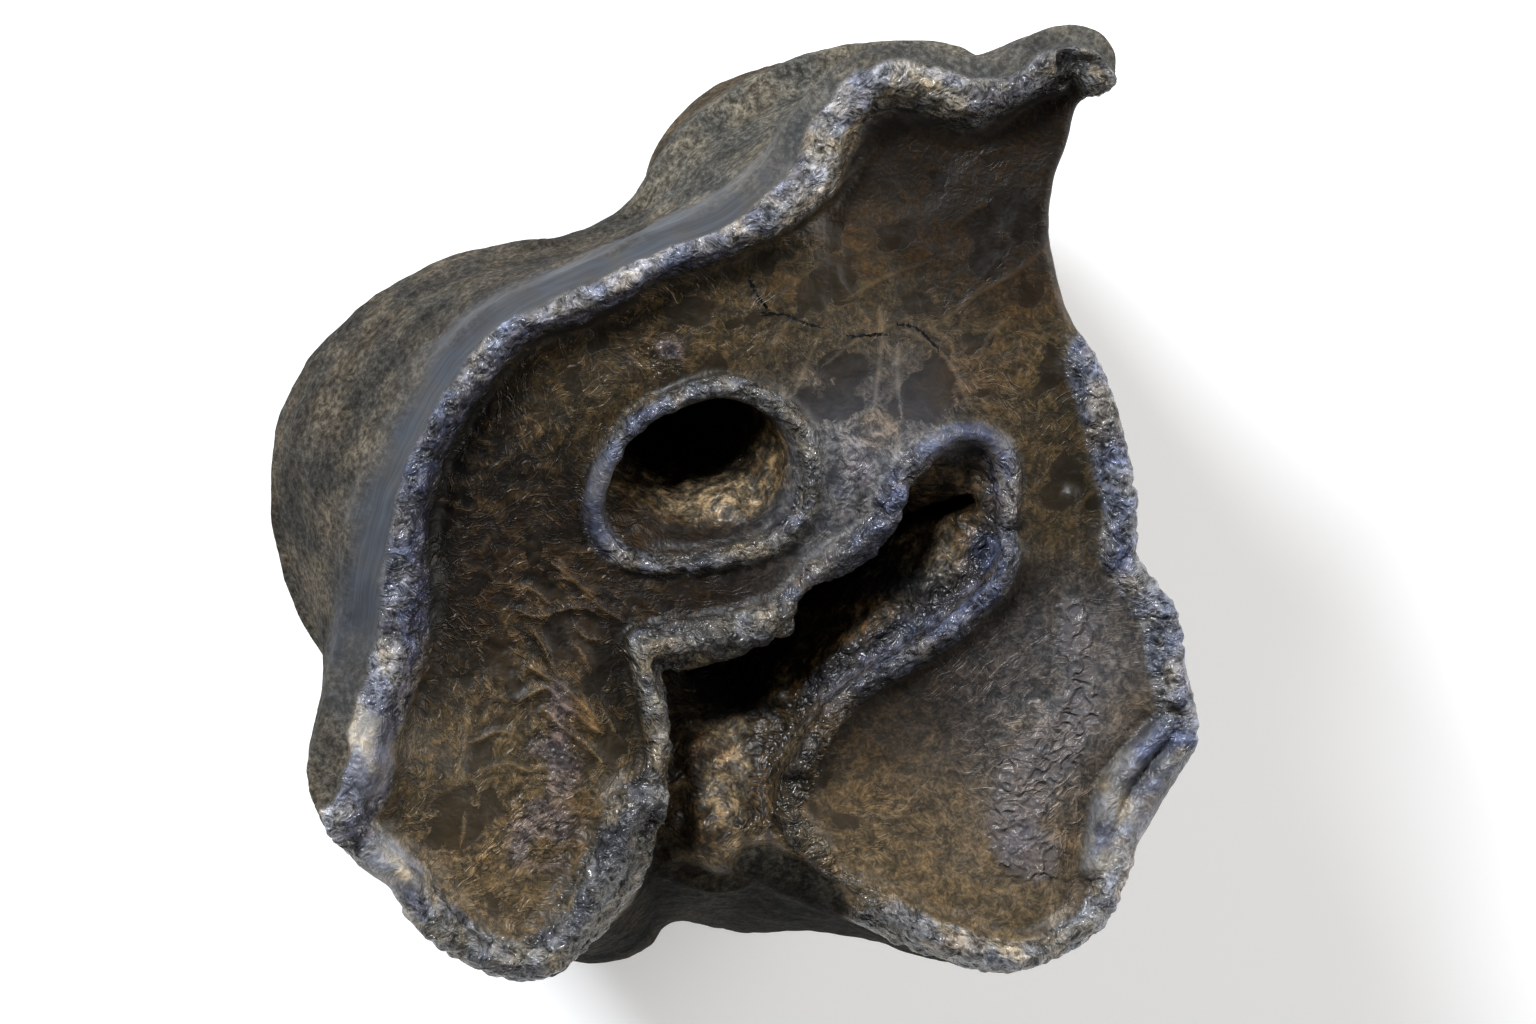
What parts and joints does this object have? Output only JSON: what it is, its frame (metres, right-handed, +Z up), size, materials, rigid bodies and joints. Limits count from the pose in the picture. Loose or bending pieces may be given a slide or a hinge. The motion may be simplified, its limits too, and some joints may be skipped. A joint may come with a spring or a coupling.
{
  "type": "fossil woolly rhino upper molar",
  "caption": "Worn upper cheek tooth of a woolly rhinoceros, life size, standing on its broken root stumps with the chewing face up.",
  "frame": {"origin": "centre of the tooth's bounding box, on the floor plane that the root stumps stand on", "axes": "+Z up, out of the chewing face; +Y roughly towards the cheek side and the front tip, -Y towards the tongue side; +X towards the front of the tooth and -X towards its rear"},
  "size_m": [0.0508, 0.0576, 0.0519],
  "materials": {
    "ectoloph": "satin grey-brown enamel, worn smooth",
    "protoloph": "satin dark brown dentine between grey enamel ridges",
    "metaloph": "satin dark brown dentine between grey enamel ridges",
    "root_outer": "dull brown dentine",
    "root_inner": "dull brown dentine"
  },
  "bodies": {
    "root": {"ectoloph": "ectoloph", "protoloph": "protoloph", "metaloph": "metaloph", "root_outer_front": "root_outer", "root_outer_rear": "root_outer", "root_inner_front": "root_inner", "root_inner_rear": "root_inner"}
  },
  "joints": []
}
